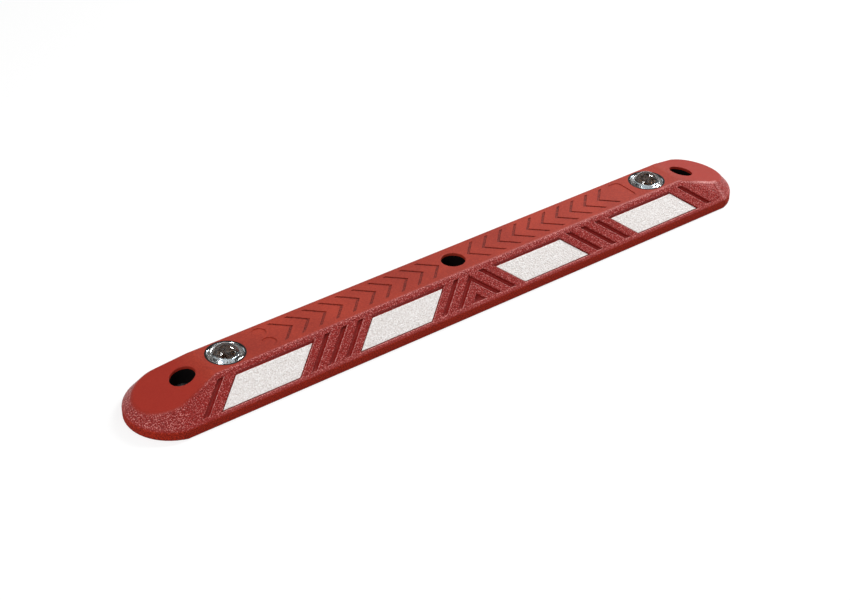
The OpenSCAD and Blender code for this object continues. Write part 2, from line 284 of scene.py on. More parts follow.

# %% [markdown]
# ## Cured red rubber
# The kerb is vulcanised natural rubber with red pigment. Its top and ramps come from a smooth part of the
# mould and look satin. The bevels and the round ends come from a spark-eroded part, whose pebbles catch the
# light as pale specks and hold small shadows between them. Both are also painted into the colour: the
# specks as pale high points, partly wear and partly painted highlight, and the shadows as painted shade.
# The rim and the walls of the grooves are smooth again. The zones could be painted by hand, but the kerb's
# sizes are known, so the shader works them out from Object coordinates. The real pebbles are about a
# millimetre apart. They are drawn about three times as coarse, so that they show at the size of the picture.

# %% Heights and distances on the kerb
MATH = "ShaderNodeMath"
RANGE = "ShaderNodeMapRange"
MIX = "ShaderNodeMix"
NOISE = "ShaderNodeTexNoise"
SOFT = "SMOOTHSTEP"
rubber, tree, shader = new_material("cured_red_rubber")
spot = add_node(tree, "ShaderNodeTexCoord")["Object"]
axes = add_node(tree, "ShaderNodeSeparateXYZ", {0: spot})
along = add_node(tree, MATH, {0: axes["X"]}, operation="ABSOLUTE")[0]
aside = add_node(tree, MATH, {0: axes["Y"]}, operation="ABSOLUTE")[0]
past_ramp = add_node(tree, MATH, {0: along, 1: RAMP_X}, operation="SUBTRACT")[0]
on_ramp = add_node(tree, MATH, {0: past_ramp, 1: 0.0}, operation="MAXIMUM")[0]
level = add_node(tree, MATH, {0: on_ramp, 1: RAMP_FALL, 2: axes["Z"]}, operation="MULTIPLY_ADD")[0]
past_end = add_node(tree, MATH, {0: along, 1: END_X}, operation="SUBTRACT")[0]
on_end = add_node(tree, MATH, {0: past_end, 1: 0.0}, operation="MAXIMUM")[0]
end_square = add_node(tree, MATH, {0: on_end, 1: on_end}, operation="MULTIPLY")[0]
square = add_node(tree, MATH, {0: aside, 1: aside, 2: end_square}, operation="MULTIPLY_ADD")[0]
from_spine = add_node(tree, MATH, {0: square}, operation="SQRT")[0]
inward = add_node(tree, MATH, {0: HALF_WIDTH, 1: from_spine}, operation="SUBTRACT")[0]
over_rim = add_node(tree, MATH, {0: axes["Z"], 1: RIM_HEIGHT}, operation="SUBTRACT")[0]
inset = add_node(tree, MATH, {0: inward, 1: math.sin(BEVEL_ANGLE)}, operation="MULTIPLY")[0]
lowered = {0: over_rim, 1: -math.cos(BEVEL_ANGLE), 2: inset}
under_bevel = add_node(tree, MATH, lowered, operation="MULTIPLY_ADD")[0]
print("rubber measures its own heights")

# %% Where the sides and the chevrons are
PEBBLES_IN, PEBBLES_OUT = 22.5 * MM, 24.5 * MM
SINK_TOP = (HEIGHT - 0.15 * MM, HEIGHT - 0.8 * MM)
SINK_RAMP = (HEIGHT - 0.3 * MM, HEIGHT - 3 * MM)
CHEVRONS_IN, CHEVRONS_OUT = 20 * MM, 276 * MM
SOFT_EDGE = 1 * MM
on_side = add_node(tree, RANGE, {0: from_spine, 1: PEBBLES_IN, 2: PEBBLES_OUT}, interpolation_type=SOFT)[0]
sunk_top = add_node(tree, RANGE, {0: level, 1: SINK_TOP[0], 2: SINK_TOP[1]}, interpolation_type=SOFT)[0]
sunk_ramp = add_node(tree, RANGE, {0: level, 1: SINK_RAMP[0], 2: SINK_RAMP[1]}, interpolation_type=SOFT)[0]
at_end = add_node(tree, RANGE, {0: along, 1: RAMP_X, 2: HOLE_X}, interpolation_type=SOFT)[0]
sunk = add_node(tree, MIX, {0: at_end, 2: sunk_top, 3: sunk_ramp})[0]
below = add_node(tree, MATH, {0: sunk, 1: on_side}, operation="MULTIPLY")[0]
past_first = add_node(tree, RANGE, {0: along, 1: CHEVRONS_IN - SOFT_EDGE, 2: CHEVRONS_IN})[0]
before_last = add_node(tree, RANGE, {0: along, 1: CHEVRONS_OUT + SOFT_EDGE, 2: CHEVRONS_OUT})[0]
in_chevrons = add_node(tree, MATH, {0: past_first, 1: before_last}, operation="MULTIPLY")[0]
off_side = add_node(tree, MATH, {0: 1.0, 1: on_side}, operation="SUBTRACT")[0]
sunk_marks = add_node(tree, MATH, {0: sunk_top, 1: in_chevrons}, operation="MULTIPLY")[0]
marks = add_node(tree, MATH, {0: sunk_marks, 1: off_side}, operation="MULTIPLY")[0]
print("sides start", round(PEBBLES_OUT / MM, 1), "mm from the spine")

# %% Where the rim and the grooves are
RIM_FADE = (RIM_HEIGHT - 1.5 * MM, RIM_HEIGHT + 1 * MM)
GRAIN_FADE = (RIM_HEIGHT - 3 * MM, RIM_HEIGHT + 5 * MM)
WALL_DEPTH = (0.3 * MM, 1.8 * MM)
FLOOR_DEPTH = (2.5 * MM, 3.1 * MM)
FACING_UP = (0.66, 0.8)
FLOOR_SHARE = 0.45
LIT_SHARE = 0.5
SMOOTH_SHARE = 0.85
above_rim = add_node(tree, RANGE, {0: axes["Z"], 1: RIM_FADE[0], 2: RIM_FADE[1]}, interpolation_type=SOFT)[0]
on_rim = add_node(tree, MATH, {0: 1.0, 1: above_rim}, operation="SUBTRACT")[0]
bevelled = add_node(tree, MATH, {0: below, 1: above_rim}, operation="MULTIPLY")[0]
# Painted shade: grooves and recesses darken with their distance below the bevel, less where they face up.
walled = {0: under_bevel, 1: WALL_DEPTH[0], 2: WALL_DEPTH[1]}
sloped = add_node(tree, RANGE, walled, interpolation_type=SOFT)[0]
floored = {0: under_bevel, 1: FLOOR_DEPTH[0], 2: FLOOR_DEPTH[1], 3: 1.0, 4: FLOOR_SHARE}
off_floor = add_node(tree, RANGE, floored, interpolation_type=SOFT)[0]
normal = add_node(tree, "ShaderNodeTexCoord")["Normal"]
tilt = add_node(tree, "ShaderNodeSeparateXYZ", {0: normal})["Z"]
upward = add_node(tree, RANGE, {0: tilt, 1: FACING_UP[0], 2: FACING_UP[1]})[0]
unlit = add_node(tree, MATH, {0: upward, 1: -LIT_SHARE, 2: 1.0}, operation="MULTIPLY_ADD")[0]
dim = add_node(tree, MATH, {0: off_floor, 1: unlit}, operation="MULTIPLY")[0]
deep_shade = add_node(tree, MATH, {0: sloped, 1: dim}, operation="MULTIPLY")[0]
hollow_shade = add_node(tree, MATH, {0: deep_shade, 1: bevelled}, operation="MULTIPLY")[0]
grain_fade = {0: axes["Z"], 1: GRAIN_FADE[0], 2: GRAIN_FADE[1]}
grainy = add_node(tree, RANGE, grain_fade, interpolation_type=SOFT)[0]
shallow = add_node(tree, MATH, {0: sloped, 1: -SMOOTH_SHARE, 2: 1.0}, operation="MULTIPLY_ADD")[0]
sided = add_node(tree, MATH, {0: below, 1: grainy}, operation="MULTIPLY")[0]
pebbled = add_node(tree, MATH, {0: sided, 1: shallow}, operation="MULTIPLY")[0]
print("grooves darken from", round(WALL_DEPTH[0] / MM, 1), "mm below the bevel")

# %% [markdown]
# ## Rubbed and lit places
# Hands, stacking and tyres wear the rubber paler where it stands out, and the same places catch the lamps.
# Both are painted into the colour as pale bands. Along the creases under the top and along the foot of each
# bevel, a band is partly wear and partly painted highlight. The grooves' edges that face up, and at the right
# end the ramp's crease and the seam where the bevel meets the round end, get painted highlight alone. The
# bands are dimmer at the left end, which the strongest lamp lights less. A painted mask could hold them, but
# a band between two depths follows the shape by itself.

# %% Worn and highlighted creases
CREASE_BAND = (HEIGHT - 3.4 * MM, HEIGHT - 1.6 * MM)
FOOT_BAND = (RIM_HEIGHT + 5 * MM, RIM_HEIGHT + 3 * MM)
FOOT_BAND_SHARE = 0.6
LEFT_END_LIGHT_SHARE = 0.3
crease = {0: level, 1: CREASE_BAND[0], 2: CREASE_BAND[1]}
crease_rub_and_light = add_node(tree, RANGE, crease, interpolation_type=SOFT)[0]
foot_rub_and_light = add_node(tree, RANGE, {0: axes["Z"], 1: FOOT_BAND[0], 2: FOOT_BAND[1]}, interpolation_type=SOFT)[0]
rub_and_light = add_node(tree, MATH, {0: foot_rub_and_light, 1: FOOT_BAND_SHARE, 2: crease_rub_and_light}, operation="MULTIPLY_ADD")[0]
# The bands fade towards the left end, which the strongest lamp lights less: painted light.
dim_left_end = {0: axes["X"], 1: -RAMP_X, 2: -HOLE_X, 3: 1.0, 4: LEFT_END_LIGHT_SHARE}
light_along = add_node(tree, RANGE, dim_left_end, interpolation_type=SOFT)[0]
rub_and_light_here = add_node(tree, MATH, {0: rub_and_light, 1: light_along}, operation="MULTIPLY")[0]
rubbed_and_lit = add_node(tree, MATH, {0: rub_and_light_here, 1: bevelled}, operation="MULTIPLY")[0]
print("creases rubbed over", round((CREASE_BAND[1] - CREASE_BAND[0]) / MM, 1), "mm")

# %% Painted highlights on the grooves' edges that face up
LIP_FROM = (0.04 * MM, 0.12 * MM)
LIP_TO = (0.7 * MM, 0.4 * MM)
lip_from = add_node(tree, RANGE, {0: under_bevel, 1: LIP_FROM[0], 2: LIP_FROM[1]})[0]
lip_to = add_node(tree, RANGE, {0: under_bevel, 1: LIP_TO[0], 2: LIP_TO[1]})[0]
lip = add_node(tree, MATH, {0: lip_from, 1: lip_to}, operation="MULTIPLY")[0]
# Only edges that face up get it, where the lamps light them: a painted highlight.
lit_lip = add_node(tree, MATH, {0: lip, 1: upward}, operation="MULTIPLY")[0]
off_crease = add_node(tree, MATH, {0: bevelled, 1: crease_rub_and_light}, operation="SUBTRACT", use_clamp=True)[0]
groove_lip_highlights = add_node(tree, MATH, {0: lit_lip, 1: off_crease}, operation="MULTIPLY")[0]
print("lips end", round(LIP_TO[0] / MM, 1), "mm below the bevel")

# %% The right end's seam, a painted highlight
SEAM_FROM = (-0.1 * MM, 0.2 * MM)
SEAM_TO = (3 * MM, 1 * MM)
SEAM_SHARE = 0.4
beside = add_node(tree, MATH, {0: HALF_WIDTH, 1: aside}, operation="SUBTRACT")[0]
side_inset = add_node(tree, MATH, {0: beside, 1: math.sin(BEVEL_ANGLE)}, operation="MULTIPLY")[0]
side_depth = {0: over_rim, 1: -math.cos(BEVEL_ANGLE), 2: side_inset}
under_side = add_node(tree, MATH, side_depth, operation="MULTIPLY_ADD")[0]
before_end = add_node(tree, MATH, {0: END_R, 1: from_spine}, operation="SUBTRACT")[0]
end_inset = add_node(tree, MATH, {0: before_end, 1: math.sin(END_ANGLE)}, operation="MULTIPLY")[0]
end_depth = {0: over_rim, 1: -math.cos(END_ANGLE), 2: end_inset}
under_end = add_node(tree, MATH, end_depth, operation="MULTIPLY_ADD")[0]
past_seam = add_node(tree, MATH, {0: under_side, 1: under_end}, operation="SUBTRACT")[0]
seam_from = add_node(tree, RANGE, {0: past_seam, 1: SEAM_FROM[0], 2: SEAM_FROM[1], 4: SEAM_SHARE})[0]
seam_to = add_node(tree, RANGE, {0: past_seam, 1: SEAM_TO[0], 2: SEAM_TO[1]}, interpolation_type=SOFT)[0]
on_seam = add_node(tree, MATH, {0: seam_from, 1: seam_to}, operation="MULTIPLY")[0]
near_seam = add_node(tree, MATH, {0: on_seam, 1: sunk}, operation="MULTIPLY")[0]
print("seam of two slopes:", round(math.degrees(BEVEL_ANGLE - END_ANGLE), 2), "degrees apart")

# %% The right end's crease, a painted highlight
EDGE_LOW = (HEIGHT - 3.6 * MM, HEIGHT - 2.4 * MM)
EDGE_HIGH = (HEIGHT - 0.1 * MM, HEIGHT - 0.6 * MM)
EDGE_SHARE = 0.75
edge_from = {0: level, 1: EDGE_LOW[0], 2: EDGE_LOW[1], 4: EDGE_SHARE}
edge_low = add_node(tree, RANGE, edge_from, interpolation_type=SOFT)[0]
edge_high = add_node(tree, RANGE, {0: level, 1: EDGE_HIGH[0], 2: EDGE_HIGH[1]}, interpolation_type=SOFT)[0]
on_edge = add_node(tree, MATH, {0: edge_low, 1: edge_high}, operation="MULTIPLY")[0]
near_edge = add_node(tree, MATH, {0: on_edge, 1: seam_to}, operation="MULTIPLY")[0]
edges = add_node(tree, MATH, {0: near_seam, 1: near_edge}, operation="MAXIMUM")[0]
# Only the right end gets these pale bands, where the right lamp lights them: painted highlight.
right_end = add_node(tree, RANGE, {0: axes["X"], 1: RAMP_X, 2: HOLE_X})[0]
right_side = add_node(tree, MATH, {0: right_end, 1: on_side}, operation="MULTIPLY")[0]
off_rim = add_node(tree, MATH, {0: right_side, 1: above_rim}, operation="MULTIPLY")[0]
end_edges = add_node(tree, MATH, {0: edges, 1: off_rim}, operation="MULTIPLY")[0]
lips = add_node(tree, MATH, {0: groove_lip_highlights, 1: end_edges}, operation="MAXIMUM")[0]
print("rubber knows its zones:", len(tree.nodes), "nodes")

# %% The pebbles and the satin grain
PEBBLE = 1.5 * MM
PEBBLE_RISE = 1.1 * MM
SATIN = 1.3 * MM
SATIN_RISE = 0.2 * MM
SATIN_STRENGTH = 0.3
pebbles = add_node(tree, NOISE, {"Vector": spot, "Scale": 1 / PEBBLE, "Detail": 1.0})[0]
satin = add_node(tree, NOISE, {"Vector": spot, "Scale": 1 / SATIN, "Detail": 2.0})[0]
rough = {"Strength": pebbled, "Distance": PEBBLE_RISE, "Height": pebbles}
pebble_bump = add_node(tree, "ShaderNodeBump", rough)[0]
fine = {"Strength": SATIN_STRENGTH, "Distance": SATIN_RISE, "Height": satin, "Normal": pebble_bump}
surface = add_node(tree, "ShaderNodeBump", fine)[0]
tree.links.new(surface, shader.inputs["Normal"])
print("pebbles of", round(PEBBLE / MM, 1), "mm")

# %% [markdown]
# ## The rubber's reds
# The top is a brick red with faint clouds from mixing. Ramps, bevels and rim each lean a little to another
# red. The grooves and recesses are darkened with painted shade, and the chevrons are dotted with painted
# shadow. The pebbles' noise runs from about 0.3 to 0.7, so one range of it picks the low points, which get
# painted shade, and another the high points, which get a pale colour, partly wear and partly painted
# highlight, most of all at the left round end.

# %% Smooth reds
CLOUD = 70 * MM
MOTTLE = 2.2 * MM
MOTTLE_SHARE = 0.5
CLOUD_RANGE = (0.35, 0.65)
DOT_RANGE, DOT_SHARES = (0.6, 0.4), (0.3, 0.85)
RAMP_SHARE = 0.7
clouds = add_node(tree, NOISE, {"Vector": spot, "Scale": 1 / CLOUD, "Detail": 3.0})[0]
mottle = add_node(tree, NOISE, {"Vector": spot, "Scale": 1 / MOTTLE, "Detail": 1.0})[0]
mottled = add_node(tree, MIX, {0: MOTTLE_SHARE, 2: clouds, 3: mottle})[0]
cloudy = add_node(tree, RANGE, {0: mottled, 1: CLOUD_RANGE[0], 2: CLOUD_RANGE[1]})[0]
reds = {0: cloudy, 6: linear("#88271A"), 7: linear("#A23624")}
satin_red = add_node(tree, MIX, reds, data_type="RGBA")[2]
ramped = add_node(tree, MATH, {0: at_end, 1: RAMP_SHARE}, operation="MULTIPLY")[0]
smooth_red = add_node(tree, MIX, {0: ramped, 6: satin_red, 7: linear("#952014")}, data_type="RGBA")[2]
# Painted shadow: the sunk chevrons are dotted with a dark red by the pebbles' noise.
dotted = {0: pebbles, 1: DOT_RANGE[0], 2: DOT_RANGE[1], 3: DOT_SHARES[0], 4: DOT_SHARES[1]}
dots = add_node(tree, RANGE, dotted)[0]
chevron_shade = add_node(tree, MATH, {0: marks, 1: dots}, operation="MULTIPLY")[0]
top_red = add_node(tree, MIX, {0: chevron_shade, 6: smooth_red, 7: linear("#4E0F0A")}, data_type="RGBA")[2]
print("top and ramps:", len(tree.nodes), "nodes")

# %% Reds of the bevels and the rim
DEEP_SHADE_SHARE = 0.7
RUB_AND_LIGHT_SHARE = 0.25
bevel_red = add_node(tree, MIX, {0: below, 6: top_red, 7: linear("#931D17")}, data_type="RGBA")[2]
rim_grain = add_node(tree, RANGE, {0: pebbles, 1: CLOUD_RANGE[0], 2: CLOUD_RANGE[1]})[0]
rim_reds = {0: rim_grain, 6: linear("#741509"), 7: linear("#BC3018")}
rim_red = add_node(tree, MIX, rim_reds, data_type="RGBA")[2]
base_red = add_node(tree, MIX, {0: on_rim, 6: bevel_red, 7: rim_red}, data_type="RGBA")[2]
# Painted shade in the grooves and recesses, mixed towards a dark red.
hollow_shade_share = add_node(tree, MATH, {0: hollow_shade, 1: DEEP_SHADE_SHARE}, operation="MULTIPLY")[0]
shaded = add_node(tree, MIX, {0: hollow_shade_share, 6: base_red, 7: linear("#680A05")}, data_type="RGBA")[2]
# Pale bands of wear and painted highlight on the creases and the foot of the bevels.
paled = add_node(tree, MATH, {0: rubbed_and_lit, 1: RUB_AND_LIGHT_SHARE}, operation="MULTIPLY")[0]
rubbed_and_lit_red = add_node(tree, MIX, {0: paled, 6: shaded, 7: linear("#C26A66")}, data_type="RGBA")[2]
print("bevels and rim:", len(tree.nodes), "nodes")

# %% Pebble shade, pale high points and edge highlights
PIT_RANGE, PIT_SHARE = (0.5, 0.34), 0.5
TIP_RANGE, TIP_SHARE = (0.56, 0.63), 0.52
END_TIP_SHARE, LEFT_END_RUN = 0.95, 25 * MM
RUB_AND_LIGHT_TIPS = 0.6
FLECK_RANGE, FLECK_SHARES = (0.42, 0.58), (0.1875, 0.75)
# Painted shade between the pebbles: their low points are darkened.
pitting = {0: pebbles, 1: PIT_RANGE[0], 2: PIT_RANGE[1], 4: PIT_SHARE}
hollow = add_node(tree, RANGE, pitting, interpolation_type=SOFT)[0]
pit_shade = add_node(tree, MATH, {0: hollow, 1: pebbled}, operation="MULTIPLY")[0]
pit_shaded = add_node(tree, MIX, {0: pit_shade, 6: rubbed_and_lit_red, 7: linear("#560F0B")}, data_type="RGBA")[2]
# The pebbles' high points are painted pale, partly wear and partly painted highlight, most at the left end.
raised = add_node(tree, RANGE, {0: pebbles, 1: TIP_RANGE[0], 2: TIP_RANGE[1]}, interpolation_type=SOFT)[0]
left_end = {0: axes["X"], 1: -END_X, 2: -END_X - LEFT_END_RUN, 3: TIP_SHARE, 4: END_TIP_SHARE}
tip_share = add_node(tree, RANGE, left_end, interpolation_type=SOFT)[0]
wear_and_glint = add_node(tree, MATH, {0: rubbed_and_lit, 1: RUB_AND_LIGHT_TIPS, 2: tip_share}, operation="MULTIPLY_ADD")[0]
worn_and_glinting_tips = add_node(tree, MATH, {0: raised, 1: wear_and_glint}, operation="MULTIPLY")[0]
tip_wear_and_glints = add_node(tree, MATH, {0: worn_and_glinting_tips, 1: pebbled}, operation="MULTIPLY")[0]
speckled = add_node(tree, MIX, {0: tip_wear_and_glints, 6: pit_shaded, 7: linear("#D5807B")}, data_type="RGBA")[2]
flecked = {0: pebbles, 1: FLECK_RANGE[0], 2: FLECK_RANGE[1], 3: FLECK_SHARES[0], 4: FLECK_SHARES[1]}
fleck = add_node(tree, RANGE, flecked)[0]
# Painted highlight, dotted, on the grooves' edges and on the right end's seam and crease.
lip_highlight = add_node(tree, MATH, {0: lips, 1: fleck}, operation="MULTIPLY")[0]
lip_highlighted = add_node(tree, MIX, {0: lip_highlight, 6: speckled, 7: linear("#E0A09C")}, data_type="RGBA")[2]
tree.links.new(lip_highlighted, shader.inputs["Base Color"])
print("specks:", len(tree.nodes), "nodes")

# %% The rubber's gloss
SATIN_ROUGH, PEBBLE_ROUGH, RIM_ROUGH = 0.5, 0.42, 0.85
gloss = add_node(tree, RANGE, {0: pebbled, 3: SATIN_ROUGH, 4: PEBBLE_ROUGH})[0]
matt_rim = add_node(tree, MIX, {0: on_rim, 2: gloss, 3: RIM_ROUGH})[0]
tree.links.new(matt_rim, shader.inputs["Roughness"])
shader.inputs["Specular IOR Level"].default_value = 0.23
kerb.data.materials.clear()
kerb.data.materials.append(rubber)
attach(kerb, "root")
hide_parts("body")
print("rubber:", len(tree.nodes), "nodes")

# %% [markdown]
# ## Beaded reflector film
# Each panel is a sheet of white film, filled with tiny glass beads and rolled to an uneven, pebbly face. The
# face could be a bump in the material, but from close by it is real relief, so the panel is a fine grid that
# a displace modifier embosses. Its border is pressed down into the bonding bed, and it has a solid thickness
# below. The beads are finer than a picture can show, so they are drawn half a millimetre wide.

# %% The film's material
film, tree, shader = new_material("beaded_white_film")
BEAD = 0.5 * MM
BEAD_RISE = 0.1 * MM
BEAD_STRENGTH = 0.3
spot = add_node(tree, "ShaderNodeTexCoord")["Object"]
painted_relief_shade = add_node(tree, "ShaderNodeAttribute", attribute_name="painted_relief_shade")["Fac"]
beads = add_node(tree, "ShaderNodeTexVoronoi", {"Vector": spot, "Scale": 1 / BEAD})["Distance"]
beaded = {"Strength": BEAD_STRENGTH, "Distance": BEAD_RISE, "Height": beads}
bead_bump = add_node(tree, "ShaderNodeBump", beaded, invert=True)[0]
tree.links.new(bead_bump, shader.inputs["Normal"])
# Painted shade: the film's white is darker where its relief is low.
whites = {0: painted_relief_shade, 6: linear("#D2C8C3"), 7: linear("#FFFDFC")}
white = add_node(tree, MIX, whites, data_type="RGBA")[2]
tree.links.new(white, shader.inputs["Base Color"])
shader.inputs["Roughness"].default_value = 0.5
shader.inputs["Specular IOR Level"].default_value = 0.35
print("film:", len(tree.nodes), "nodes")

# %% Emboss one panel after another
FILM = 0.8 * MM
GRID = 0.5 * MM
EMBOSS_WIDTH = 1.6 * MM
EMBOSS_DEPTH = 0.8 * MM
EMBOSS_MIDDLE = 0.6
PRESSED = 0.2 * MM
RELIEF_MIDDLE, RELIEF_SHADE = 0.65, 1.4
FILM_SMOOTH = math.radians(50)
pebbly = bpy.data.textures.new("film_relief", "CLOUDS")
pebbly.noise_scale = EMBOSS_WIDTH
pebbly.noise_depth = 1


def film_corners(node, outward):
    """The four corners of a panel's face: upper left and right, lower left and right."""
    points = {tuple(round(c, 6) for c in vert.co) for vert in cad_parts[node].data.vertices}
    points = sorted((Vector(p) for p in points), key=lambda p: p.dot(outward))[-4:]
    points = sorted(points, key=lambda p: -p.z)
    return sorted(points[:2], key=lambda p: p.x) + sorted(points[2:], key=lambda p: p.x)


def make_film(side, number):
    """An embossed sheet over the face of one panel."""
    way = -1 if side == "front" else 1
    outward = Vector((0, way * math.sin(BEVEL_ANGLE), math.cos(BEVEL_ANGLE)))
    node = f"panel_{side}_{number}"
    upper_left, upper_right, lower_left, lower_right = film_corners(node, outward)
    run = upper_right - upper_left
    rise = upper_left - lower_left
    middle = (upper_left + lower_right) / 2
    only(camera)
    bpy.ops.mesh.primitive_grid_add(
        x_subdivisions=round(run.length / GRID), y_subdivisions=round(rise.length / GRID), size=1
    )
    piece = bpy.context.object
    piece.name = piece.data.name = f"film_{side}_{number}"
    columns = Matrix((run, rise, outward)).transposed().to_4x4()
    piece.data.transform(Matrix.Translation(middle) @ columns)
    bpy.ops.object.mode_set(mode="EDIT")
    bpy.ops.mesh.select_all(action="SELECT")
    if run.cross(rise).dot(outward) < 0:
        bpy.ops.mesh.flip_normals()
    bpy.ops.object.mode_set(mode="OBJECT")
    relief = {"texture": pebbly, "texture_coords": "LOCAL"}
    apply_modifier(piece, "DISPLACE", strength=EMBOSS_DEPTH, mid_level=EMBOSS_MIDDLE, **relief)
    heights = np.array([(vert.co - middle).dot(outward) for vert in piece.data.vertices])
    bpy.ops.object.mode_set(mode="EDIT")
    bpy.ops.mesh.select_mode(type="VERT")
    bpy.ops.mesh.select_all(action="DESELECT")
    bpy.ops.mesh.select_non_manifold()
    bpy.ops.transform.translate(value=-outward * PRESSED)
    bpy.ops.object.mode_set(mode="OBJECT")
    # Painted shade for the film: low points of the relief get a darker white.
    shade = np.clip(RELIEF_MIDDLE + RELIEF_SHADE * heights / EMBOSS_DEPTH, 0, 1)
    tones = piece.data.attributes.new("painted_relief_shade", "FLOAT", "POINT")
    tones.data.foreach_set("value", shade.astype(np.float32))
    apply_modifier(piece, "SOLIDIFY", thickness=FILM, offset=-1)
    bpy.ops.object.shade_smooth_by_angle(angle=FILM_SMOOTH)
    piece.data.materials.append(film)
    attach(piece, "root")
    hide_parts(node)
    return piece


for side in ("front", "rear"):
    for number in (1, 2, 3, 4):
        sheet = make_film(side, number)
    print("films on the", side, "bevel, each with", len(sheet.data.polygons), "faces")

# %% [markdown]
# ## Glass studs
# Each stud is a solid lens of toughened glass: a dome above, a sloping collar, a flange and a bowl below. A
# turned piece is drawn as half of its outline and spun about its axis, which is how a lathe would see it. A
# small hollow at the foot of the dome catches a bright ring, as it does on the real glass.

# %% Turn a profile about a stud's axis
TURN_STEPS = 72
TURNED_SMOOTH = math.radians(35)
POLE = math.radians(89.99)


def turn(name, profile, x):
    """Spins an outline of (radius, height) points about the upright axis at x."""
    points = [Vector((x + radius, 0, height)) for radius, height in profile]
    only(camera)
    bpy.ops.mesh.primitive_plane_add(size=MM)
    piece = bpy.context.object
    piece.name = piece.data.name = name
    bpy.ops.object.mode_set(mode="EDIT")
    bpy.ops.mesh.select_mode(type="VERT")
    bpy.ops.mesh.select_all(action="SELECT")
    bpy.ops.mesh.merge(type="CENTER")
    bpy.ops.transform.translate(value=points[0])
    for here, there in zip(points, points[1:]):
        bpy.ops.mesh.extrude_region_move(TRANSFORM_OT_translate={"value": there - here})
    bpy.ops.mesh.select_all(action="SELECT")
    bpy.ops.mesh.spin(steps=TURN_STEPS, angle=math.tau, center=(x, 0, 0), axis=(0, 0, 1))
    bpy.ops.mesh.select_all(action="SELECT")
    bpy.ops.mesh.remove_doubles(threshold=WELD)
    bpy.ops.mesh.normals_make_consistent(inside=False)
    bpy.ops.object.mode_set(mode="OBJECT")
    bpy.ops.object.shade_smooth_by_angle(angle=TURNED_SMOOTH)
    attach(piece, "root")
    return piece


def arc(centre_z, radius, start, end, steps):
    """Points on a circle about the axis, from one angle above the horizon to another, in degrees."""
    angles = [math.radians(start + (end - start) * i / steps) for i in range(steps + 1)]
    spans = [radius * math.cos(a) if abs(a) < POLE else 0.0 for a in angles]
    return [(span, centre_z + radius * math.sin(a)) for span, a in zip(spans, angles)]


print("turned pieces have", TURN_STEPS, "steps round")

# %% The lens
BOWL_Z = 44 * MM
BOWL_R = 21.3 * MM
BOWL_STEPS = 24
DOME_Z = 44 * MM
DOME_R = 18 * MM
DOME_FOOT = 28
DOME_STEPS = 18
FLANGE = ((21.3, 44.3), (23.1, 44.3), (23.3, 44.5), (23.3, 49.1), (23.15, 49.6), (22.6, 49.95))
COLLAR = ((18.5, 51.0), (17.7, 51.1), (17.1, 51.3), (16.6, 51.65), (16.2, 52.1))
lens_outline = arc(BOWL_Z, BOWL_R, -90, 0, BOWL_STEPS)
lens_outline += [(r * MM, z * MM) for r, z in FLANGE + COLLAR]
lens_outline += arc(DOME_Z, DOME_R, DOME_FOOT, 90, DOME_STEPS)
STUDS = (("left", STUD_LEFT_X), ("right", STUD_RIGHT_X))
lenses = [turn(f"stud_lens_{end}", lens_outline, x) for end, x in STUDS]
print("lens:", len(lenses[0].data.polygons), "faces")

# %% [markdown]
# ## Toughened glass and its mirror coat
# The glass is clear soda-lime with the faint waves of a pressing. Its bowl is silvered from outside, over
# small pressed facets, and the silver goes round the flange as a thin skin. One material could stand for
# both, but a coat of its own, a hair outside the glass, lets light pass through the glass twice, as on the
# real stud. Dome and bowl share a centre, so the dome sends a view straight back to where it came from and
# shows the dark part of the room, while the sloping collar scatters bright and grey glints. The belt of the
# coat that the dome looks onto is also painted a dark umber, a painted reflection of that dark room.

# %% Glass
WAVE = 7 * MM
WAVE_RISE = 0.25 * MM
WAVE_STRENGTH = 0.25
FACET = 1.6 * MM
FACET_RISE = 0.4 * MM
BELT_LOW = (30.5 * MM, 31.5 * MM)
BELT_HIGH = (37 * MM, 36 * MM)
BOWL_TOP = (43.9 * MM, 43.5 * MM)
GLASS_FACETS = (0.5, 0.25)


def faceted_bowl(tree, spot, strong, faint):
    """Gives the bowl's pressed facets, their strength and its smooth belt."""
    height = add_node(tree, "ShaderNodeSeparateXYZ", {0: spot})["Z"]
    above = add_node(tree, RANGE, {0: height, 1: BELT_LOW[0], 2: BELT_LOW[1]}, interpolation_type=SOFT)[0]
    beneath = add_node(tree, RANGE, {0: height, 1: BELT_HIGH[0], 2: BELT_HIGH[1]}, interpolation_type=SOFT)[0]
    belt = add_node(tree, MATH, {0: above, 1: beneath}, operation="MULTIPLY")[0]
    in_bowl = add_node(tree, RANGE, {0: height, 1: BOWL_TOP[0], 2: BOWL_TOP[1]})[0]
    strength = add_node(tree, MIX, {0: belt, 2: strong, 3: faint})[0]
    strength = add_node(tree, MATH, {0: strength, 1: in_bowl}, operation="MULTIPLY")[0]
    facets = add_node(tree, "ShaderNodeTexVoronoi", {"Vector": spot, "Scale": 1 / FACET})
    return facets, strength, belt


